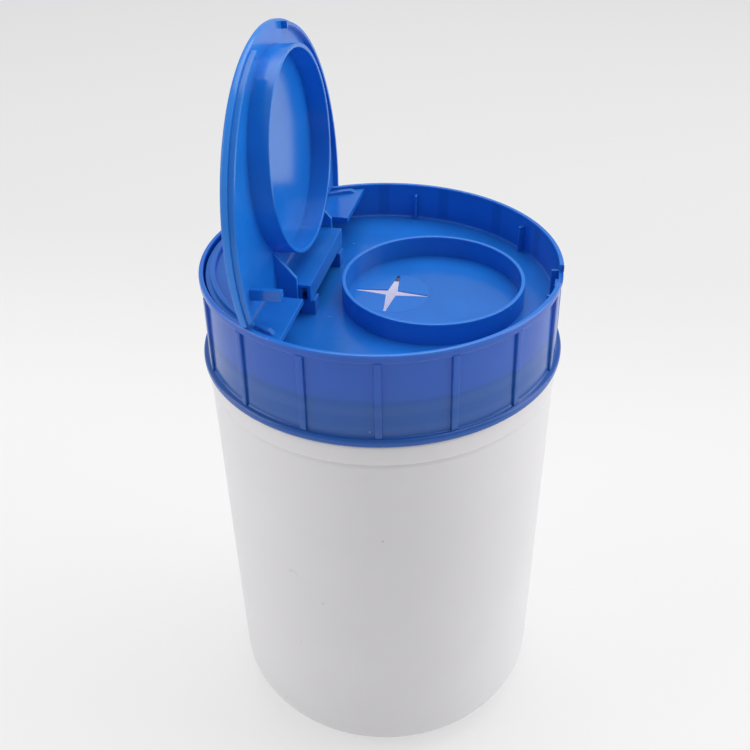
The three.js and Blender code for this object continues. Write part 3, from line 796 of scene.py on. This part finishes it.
class CANISTER_OT_cap(bpy.types.Operator):
    """Adds the screw cap with its deck, slit, ring and grip ribs"""
    bl_idname = "canister.cap"
    bl_label = "Screw cap"
    bl_options = {"REGISTER", "UNDO"}

    def shell(self, s):
        """The turned form of the cap."""
        bead_top = s.bottom + s.bead_height
        lip_low = s.rim_top - s.lip_height
        return turned("cap", rounded([
            (0.0, s.deck_under),
            (s.inner_radius, s.deck_under),
            (s.inner_radius, s.bottom),
            (s.bead_radius, s.bottom),
            (s.bead_radius, bead_top),
            (s.skirt_radius, bead_top + 0.0004),
            (s.skirt_radius - 0.0002, lip_low - 0.0004),
            (s.rim_radius, lip_low),
            (s.rim_radius, s.rim_top),
            (s.rim_inner, s.rim_top),
            (s.rim_inner, s.deck_top),
            (0.0, s.deck_top),
        ], {1: 0.0006, 2: 0.0005, 3: 0.0010, 4: 0.0011, 5: 0.0008, 6: 0.0003, 7: 0.0005,
            8: 0.0009, 9: 0.0005, 10: 0.0010}, 6), 224)

    def grips(self, s):
        """The ribs round the skirt."""
        low = s.bottom + s.bead_height - 0.0006
        high = s.rim_top - s.lip_height + 0.0002
        outer = s.skirt_radius - 0.0001 + s.grip_out
        half = s.grip_width / 2
        first = small_block("grip", s.skirt_radius - 0.0007, outer, -half, half, low, high, 0.00042)
        step = 2 * pi / s.grips
        ribs = [turned_copy(first, f"grip_{i:02d}", (i + 0.5) * step) for i in range(s.grips)]
        bpy.data.objects.remove(first, do_unlink=True)
        return gathered(ribs)

    def inner_forms(self, s, under_flap):
        """Rest ribs on the rim's inside, the catch and the two posts."""
        parts = []
        in_rim, in_deck = s.rim_inner + BITE, s.deck_top - BITE
        rest_half, rest_gap = 0.0006, 0.0003
        rest = small_block("rest", s.rim_inner - s.rest_depth, in_rim, -rest_half, rest_half,
                           in_deck, under_flap - rest_gap, 0.00025)
        for degrees in (8.6, 42.0, 89.0):
            for side in (-1, 1):
                parts.append(turned_copy(rest, f"rest_{len(parts)}", radians(side * degrees)))
        bpy.data.objects.remove(rest, do_unlink=True)
        catch_deep, catch_half, catch_high = 0.0012, 0.0025, 0.005
        catch_top = s.rim_top - 0.0036
        parts.append(small_block("catch", s.rim_inner - catch_deep, in_rim, -catch_half,
                                 catch_half, catch_top - catch_high, catch_top, 0.0003))
        post_back, post_front, post_top = -0.0245, -0.019, 0.1877
        post_inner, post_outer = 0.015, 0.020
        for side in (-1, 1):
            y0, y1 = sorted((side * post_inner, side * post_outer))
            parts.append(small_block(f"post_{side}", post_back, post_front, y0, y1,
                                     in_deck, post_top, 0.0003))
        return gathered(parts)

    def star(self, s):
        """The cutter for the four-armed slit."""
        arm, waist, tip = s.star_arm, s.star_waist / 2, s.star_tip / 2
        steps, hollow, over = 9, 1.25, 0.002
        flank = []
        for k in range(1, steps):
            t = k / steps
            narrowing = 1 - (1 - t) ** hollow
            flank.append((waist + (arm - waist) * t, waist + (tip - waist) * narrowing))
        edge = [(waist, -waist)] + [(u, -v) for u, v in flank] + [(arm, -tip), (arm, tip)]
        edge += reversed(flank)
        points = []
        for i in range(4):
            c, d = cos(i * pi / 2), sin(i * pi / 2)
            points += [(s.star_x + u * c - v * d, u * d + v * c) for u, v in edge]
        return plate("slit", points, s.deck_under - over, s.deck_top + over)

    def execute(self, context):
        s = context.scene.canister_cap
        t = context.scene.canister_thread
        flap = context.scene.canister_flap
        cap = self.shell(s)
        ring = turned_ring("dispensing_ring", s.ring_radius - s.ring_wall, s.ring_radius,
                           s.deck_top - 0.0006, s.ring_top, 0.00035, 160, (s.ring_x, 0.0))
        additions = [ring, self.inner_forms(s, flap.top - flap.plate), self.grips(s)]
        worked(cap, additions, "UNION")
        notch_half, notch_deep, over = 0.0063, 0.0028, 0.003
        notch = small_block("notch", s.rim_inner - over, s.rim_radius + over, -notch_half,
                            notch_half, s.rim_top - notch_deep, s.rim_top + over, 0.0004)
        groove_wide, groove_deep = 0.0005, 0.00004
        groove = turned_ring("groove", s.disc_radius, s.disc_radius + groove_wide,
                             s.deck_top - groove_deep, s.deck_top + 0.001, 0.00003, 96,
                             (s.star_x, 0.0))
        pocket = plate("pocket", arc(s.star_x, 0.0, s.disc_radius, 0, 355, 71),
                       s.deck_under - 0.001, s.deck_top - s.disc_thick)
        worked(cap, [notch, groove, pocket, self.star(s)], "DIFFERENCE")
        smoothed(cap)
        winding = screw_thread("cap_thread", s.inner_radius, -1, t.cap_start, 1.0, t)
        cap = gathered([cap, winding])
        looks = context.scene.canister_looks
        blue = blue_polypropylene("blue_cap", looks.cap_blue,
                                  lambda f, tone: cap_light_and_scratch(f, tone, s, t))
        dress(cap, blue, "lid", "blue_plastic", "lid_cap")
        return {"FINISHED"}


def bead_on_plate(name, s, radius, ahead, rise, low, edge, side):
    """The raised stacking bead on one side of an edge, with sloped ends."""
    half, high, run, reach = s.bead_width / 2, s.top + rise, 0.0026, 0.2
    bead = turned_ring(name, radius - half, radius + half, low, high, 0.0005, 200, (ahead, 0.0))
    slope = [(edge, low - 0.001), (edge, s.top - 0.0002), (edge + side * run, high + 0.0002),
             (edge + side * run, high + 0.01), (side * reach, high + 0.01),
             (side * reach, low - 0.001)]
    return worked(bead, [side_plate(name + "_keep", slope, -reach, reach)], "INTERSECT")


class CANISTER_OT_panel(bpy.types.Operator):
    """Adds the hinge panel at the rear of the cap"""
    bl_idname = "canister.panel"
    bl_label = "Hinge panel"
    bl_options = {"REGISTER", "UNDO"}

    def execute(self, context):
        s = context.scene.canister_flap
        cap = context.scene.canister_cap
        half, slot_out, slot_back = 0.0222, 0.031, -0.0334
        wall, wall_deep = 0.0013, 0.0066
        cheek_radius, socket_radius = 0.0034, 0.0021
        low = s.top - s.panel_plate
        corner = atan2(sqrt(s.panel_radius ** 2 - s.panel_front ** 2), s.panel_front)
        start = corner * 180 / pi
        outline = arc(0, 0, s.panel_radius, start, 360 - start, 110)
        outline += [(s.panel_front, -slot_out), (slot_back, -slot_out), (slot_back, slot_out),
                    (s.panel_front, slot_out)]
        panel = plate("hinge_plate", outline, low, s.top, 0.00035)
        top = small_block("block_top", slot_back - 0.001, s.panel_front, -half, half,
                          s.top - wall, s.top, 0.0003)
        front = small_block("block_wall", s.panel_front - wall, s.panel_front, -half, half,
                            s.top - wall_deep, s.top - 0.0002, 0.00025)
        parts = [top, front]
        for side in (-1, 1):
            inner, outer = sorted((side * (half - 0.0018), side * (half - 0.0004)))
            shape = [(s.pivot_x - cheek_radius, s.top - 0.001)]
            shape += arc(s.pivot_x, s.pivot_z, cheek_radius, 180, 360, 20)
            shape += [(s.pivot_x + cheek_radius, s.top - 0.001)]
            cheek = side_plate(f"cheek_{side}", shape, inner, outer, 0.0001)
            hole = side_plate("hole", arc(s.pivot_x, s.pivot_z, socket_radius, 0, 350, 35),
                              inner - 0.001, outer + 0.001)
            parts.append(worked(cheek, [hole], "DIFFERENCE"))
        curb = turned_ring("curb", s.panel_radius - 0.0015, s.panel_radius - 0.00005,
                           cap.deck_top + 0.0003, low + BITE, 0.0002, 200)
        behind = small_block("behind", -0.2, -0.030, -0.1, 0.1, 0.17, 0.21, 0.0)
        parts.append(worked(curb, [behind], "INTERSECT"))
        parts.append(bead_on_plate("panel_bead", s, s.panel_radius - s.bead_inset, 0.0,
                                   s.bead_height, low + 0.0006, s.panel_front - 0.0022, -1))
        worked(panel, parts, "UNION")
        smoothed(panel)
        looks = context.scene.canister_looks
        blue = blue_polypropylene("blue_panel", looks.panel_blue)
        dress(panel, blue, "lid", "blue_plastic", "hinge_panel")
        return {"FINISHED"}


# Sides of the flap's tabs, arms and pins, out from the middle of the hinge line

TAB_INNER, TAB_OUTER = 0.0226, 0.0304
ARM_OUTER = 0.0241
PIN_INNER, PIN_OUTER = 0.0198, 0.0233


class CANISTER_OT_flap(bpy.types.Operator):
    """Adds the flap, standing open on its hinge"""
    bl_idname = "canister.flap"
    bl_label = "Flap"
    bl_options = {"REGISTER", "UNDO"}

    def outline(self, s):
        """The D-shaped plate with its two hinge tabs."""
        edge = s.flap_edge - s.ahead
        corner = atan2(sqrt(s.radius ** 2 - edge ** 2), edge) * 180 / pi
        points = arc(s.ahead, 0, s.radius, -corner, corner, 170)
        back = s.pivot_x - 0.0025
        for first, last in ((TAB_OUTER, TAB_INNER), (-TAB_INNER, -TAB_OUTER)):
            points += [(s.flap_edge, first), (back, first), (back, last), (s.flap_edge, last)]
        return points

    def arm(self, s, side, under):
        """One hinge arm with its pin."""
        y0, y1 = sorted((side * TAB_INNER, side * ARM_OUTER))
        arm_radius, pin_radius = 0.0028, 0.0018
        shape = arc(s.pivot_x, s.pivot_z, arm_radius, 180, 290, 14)
        shape += [(s.pivot_x + 0.009, s.pivot_z - 0.0032), (s.pivot_x + 0.0194, under + 0.0004),
                  (s.pivot_x - 0.0023, under + 0.0004)]
        arm = side_plate(f"arm_{side}", shape, y0, y1, 0.0002)
        pin0, pin1 = sorted((side * PIN_INNER, side * PIN_OUTER))
        circle = arc(s.pivot_x, s.pivot_z, pin_radius, 0, 348, 29)
        pin = side_plate("pin", circle, pin0, pin1, 0.0003)
        return worked(arm, [pin], "UNION")

    def rib(self, s, under):
        """The rib under the edge, open at the finger lift."""
        inset, wall, deep, over = 0.0009, 0.0012, 0.0019, 0.01
        low, outer = under - deep, s.radius - inset
        ring = turned_ring("edge_rib", outer - wall, outer, low, under + BITE, 0.0002, 200,
                           (s.ahead, 0.0))
        ahead = small_block("ahead", s.flap_edge, 0.2, -0.1, 0.1, low - over, under + over, 0.0)
        worked(ring, [ahead], "INTERSECT")
        lift = small_block("lift", 0.0, 0.2, -s.lift_half, s.lift_half, low - over, under + over,
                           0.0)
        worked(ring, [lift], "DIFFERENCE")
        ends = []
        x1 = s.ahead + sqrt(outer ** 2 - (s.lift_half + wall) ** 2)
        for side in (-1, 1):
            y0, y1 = sorted((side * s.lift_half, side * (s.lift_half + wall)))
            ends.append(small_block(f"end_{side}", x1 - 0.0022, x1, y0, y1, low, under + BITE,
                                    0.0002))
        return worked(ring, ends, "UNION")

    def execute(self, context):
        s = context.scene.canister_flap
        cap = context.scene.canister_cap
        under = s.top - s.plate
        flap = plate("flap_plate", self.outline(s), under, s.top, 0.0004)
        seal = turned_ring("seal", s.seal_radius, s.seal_radius + 0.0014, under - s.seal_depth,
                           under + BITE, 0.0004, 160, (cap.ring_x, 0.0))
        peg_x, peg_y, peg_half = s.flap_edge + 0.0079, -0.04775, 0.0019
        peg_shape = [(peg_x - peg_half, peg_y - 0.0012), (peg_x + peg_half, peg_y - 0.0012)]
        peg_shape += arc(peg_x, peg_y - 0.0002, peg_half, 0, 180, 14)
        peg = plate("peg", peg_shape, cap.deck_top + 0.0003, under + BITE, 0.0002)
        bead = bead_on_plate("flap_bead", s, s.radius - s.flap_bead_inset, s.ahead,
                             s.flap_bead_height, under + 0.0006, s.flap_edge, 1)
        arms = [self.arm(s, side, under) for side in (1, -1)]
        worked(flap, [seal, self.rib(s, under), *arms, peg, bead], "UNION")
        smoothed(flap)
        pivot = Vector((s.pivot_x, 0, s.pivot_z))
        turn = Matrix.Rotation(-s.opening, 4, "Y")
        swing = Matrix.Translation(pivot) @ turn @ Matrix.Translation(-pivot)
        pick(flap)
        flap.matrix_world = swing
        bpy.ops.object.transform_apply(location=True, rotation=True, scale=True)
        looks = context.scene.canister_looks
        middle = swing @ Vector((s.ahead, 0, s.top - s.plate / 2))
        blue = blue_polypropylene("blue_flap", looks.flap_blue,
                                  lambda f, tone: pale_edge(f, tone, middle, s.radius))
        dress(flap, blue, "flap", "blue_flap_plastic", "flap")
        return {"FINISHED"}


class CANISTER_OT_stage(bpy.types.Operator):
    """Adds the floor, the backdrop, the lamps and the camera"""
    bl_idname = "canister.stage"
    bl_label = "Stage"
    bl_options = {"REGISTER", "UNDO"}

    def floor(self, colour):
        """A pale floor that reaches past the view, with part of its paleness its own."""
        clear_selection()
        bpy.ops.mesh.primitive_circle_add(radius=6.0, vertices=96, fill_type="NGON",
                                          location=(0, 0, -0.0002))
        floor = bpy.context.object
        floor.name = "floor"
        bpy.ops.object.transform_apply(location=True, rotation=True, scale=True)
        f = Finish("pale_floor")
        grain = f.noise(3.0, 3.0)
        tone = f.mix(grain.ramp(0.3, 0.7), shade(colour, 0.995), shade(colour, 1.005))
        # painted shade: the floor darker towards the back
        tone = f.mix(f.spot()[1].ramp(0.10, 0.40), tone, shade(colour, 0.90))
        f.end(tone, grain * 0.05 + 0.6, Specular_IOR_Level=0.2)
        rays = f.tree.nodes.new("ShaderNodeLightPath")
        seen = Value(f, rays.outputs["Is Camera Ray"])
        for kind in ("Is Glossy Ray", "Is Transmission Ray"):
            seen = seen.maths("MAXIMUM", seen, Value(f, rays.outputs[kind]))
        pale = f.tree.nodes.new("ShaderNodeEmission")
        f.tree.links.new(tone.socket, pale.inputs["Color"])
        blend = f.tree.nodes.new("ShaderNodeMixShader")
        own_share = 0.6
        f.tree.links.new((seen * own_share).socket, blend.inputs[0])
        f.tree.links.new(f.shader.outputs[0], blend.inputs[1])
        f.tree.links.new(pale.outputs[0], blend.inputs[2])
        f.tree.links.new(blend.outputs[0], f.tree.nodes["Material Output"].inputs["Surface"])
        f.material.cycles.emission_sampling = "NONE"
        floor.data.materials.append(f.material)

    def lamp(self, name, place, aim, size, power):
        """A soft square lamp."""
        clear_selection()
        bpy.ops.object.light_add(type="AREA", location=place)
        lamp = bpy.context.object
        lamp.name = name
        lamp.data.shape = "RECTANGLE"
        lamp.data.size, lamp.data.size_y = size
        lamp.data.energy = power
        lamp.rotation_euler = (Vector(aim) - Vector(place)).to_track_quat("-Z", "Y").to_euler()

    def world(self):
        """Soft surround: pale to the camera, calmer as light and in reflections."""
        as_light, to_camera = 0.44, 0.85
        world = bpy.data.worlds.new("soft_room")
        bpy.context.scene.world = world
        world.use_nodes = True
        tree = world.node_tree
        background = tree.nodes["Background"]
        background.inputs["Color"].default_value = (1.0, 0.985, 0.99, 1.0)
        rays = tree.nodes.new("ShaderNodeLightPath")
        add = tree.nodes.new("ShaderNodeMath")
        add.operation = "MAXIMUM"
        tree.links.new(rays.outputs["Is Camera Ray"], add.inputs[0])
        tree.links.new(rays.outputs["Is Transmission Ray"], add.inputs[1])
        level = tree.nodes.new("ShaderNodeMapRange")
        tree.links.new(add.outputs[0], level.inputs["Value"])
        level.inputs["To Min"].default_value = as_light
        level.inputs["To Max"].default_value = to_camera
        tree.links.new(level.outputs[0], background.inputs["Strength"])

    def camera(self):
        """The camera, where the photograph was taken from."""
        data = bpy.data.cameras.new("camera")
        data.lens, data.sensor_width, data.sensor_fit = 50.4, 36.0, "HORIZONTAL"
        data.clip_start, data.clip_end = 0.01, 50.0
        camera = bpy.data.objects.new("camera", data)
        bpy.context.scene.collection.objects.link(camera)
        right = (0.975887, 0.217689, -0.015971)
        up = (-0.109931, 0.553387, 0.825638)
        back = (0.18857, -0.803974, 0.563975)
        place = (0.072343, -0.321216, 0.370532)
        rows = [[right[i], up[i], back[i], place[i]] for i in range(3)]
        camera.matrix_world = Matrix(rows + [[0, 0, 0, 1]])
        bpy.context.scene.camera = camera

    def execute(self, context):
        self.floor(context.scene.canister_looks.floor)
        self.lamp("top_softbox", (0.1, 0.5, 1.5), (0, 0, 0.15), (1.6, 1.2), 14)
        self.lamp("left_softbox", (-1.2, -0.35, 0.6), (0, 0, 0.12), (0.9, 1.1), 5.6)
        self.lamp("right_softbox", (1.2, 0.35, 0.6), (0, 0, 0.12), (0.9, 1.1), 7)
        self.world()
        self.camera()
        context.scene.view_settings.view_transform = "Standard"
        return {"FINISHED"}


class CANISTER_PT_panel(bpy.types.Panel):
    """Lists the canister's pieces"""
    bl_idname = "CANISTER_PT_panel"
    bl_label = "Wipes canister"
    bl_space_type = "VIEW_3D"
    bl_region_type = "UI"
    bl_category = "Canister"

    def draw(self, context):
        column = self.layout.column()
        for name in ("stage", "bottle", "roll", "cap", "panel", "flap"):
            column.operator(f"canister.{name}")


CLASSES = (
    BottleSizes, ThreadSizes, CapSizes, FlapSizes, CanisterLooks,
    CANISTER_OT_stage, CANISTER_OT_bottle, CANISTER_OT_roll, CANISTER_OT_cap,
    CANISTER_OT_panel, CANISTER_OT_flap, CANISTER_PT_panel,
)


def register():
    """Registers the classes and hangs the sizes on the scene."""
    for cls in CLASSES:
        bpy.utils.register_class(cls)
    bpy.types.Scene.canister_bottle = PointerProperty(type=BottleSizes)
    bpy.types.Scene.canister_thread = PointerProperty(type=ThreadSizes)
    bpy.types.Scene.canister_cap = PointerProperty(type=CapSizes)
    bpy.types.Scene.canister_flap = PointerProperty(type=FlapSizes)
    bpy.types.Scene.canister_looks = PointerProperty(type=CanisterLooks)


def unregister():
    """Takes the sizes and classes away again."""
    for name in ("bottle", "thread", "cap", "flap", "looks"):
        delattr(bpy.types.Scene, f"canister_{name}")
    for cls in reversed(CLASSES):
        bpy.utils.unregister_class(cls)


def main():
    """Builds the canister on its stage."""
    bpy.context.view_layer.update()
    register()
    bpy.ops.canister.stage()
    bpy.ops.canister.bottle()
    bpy.ops.canister.roll()
    bpy.ops.canister.cap()
    bpy.ops.canister.panel()
    bpy.ops.canister.flap()
    clear_selection()


if __name__ == "__main__":
    main()
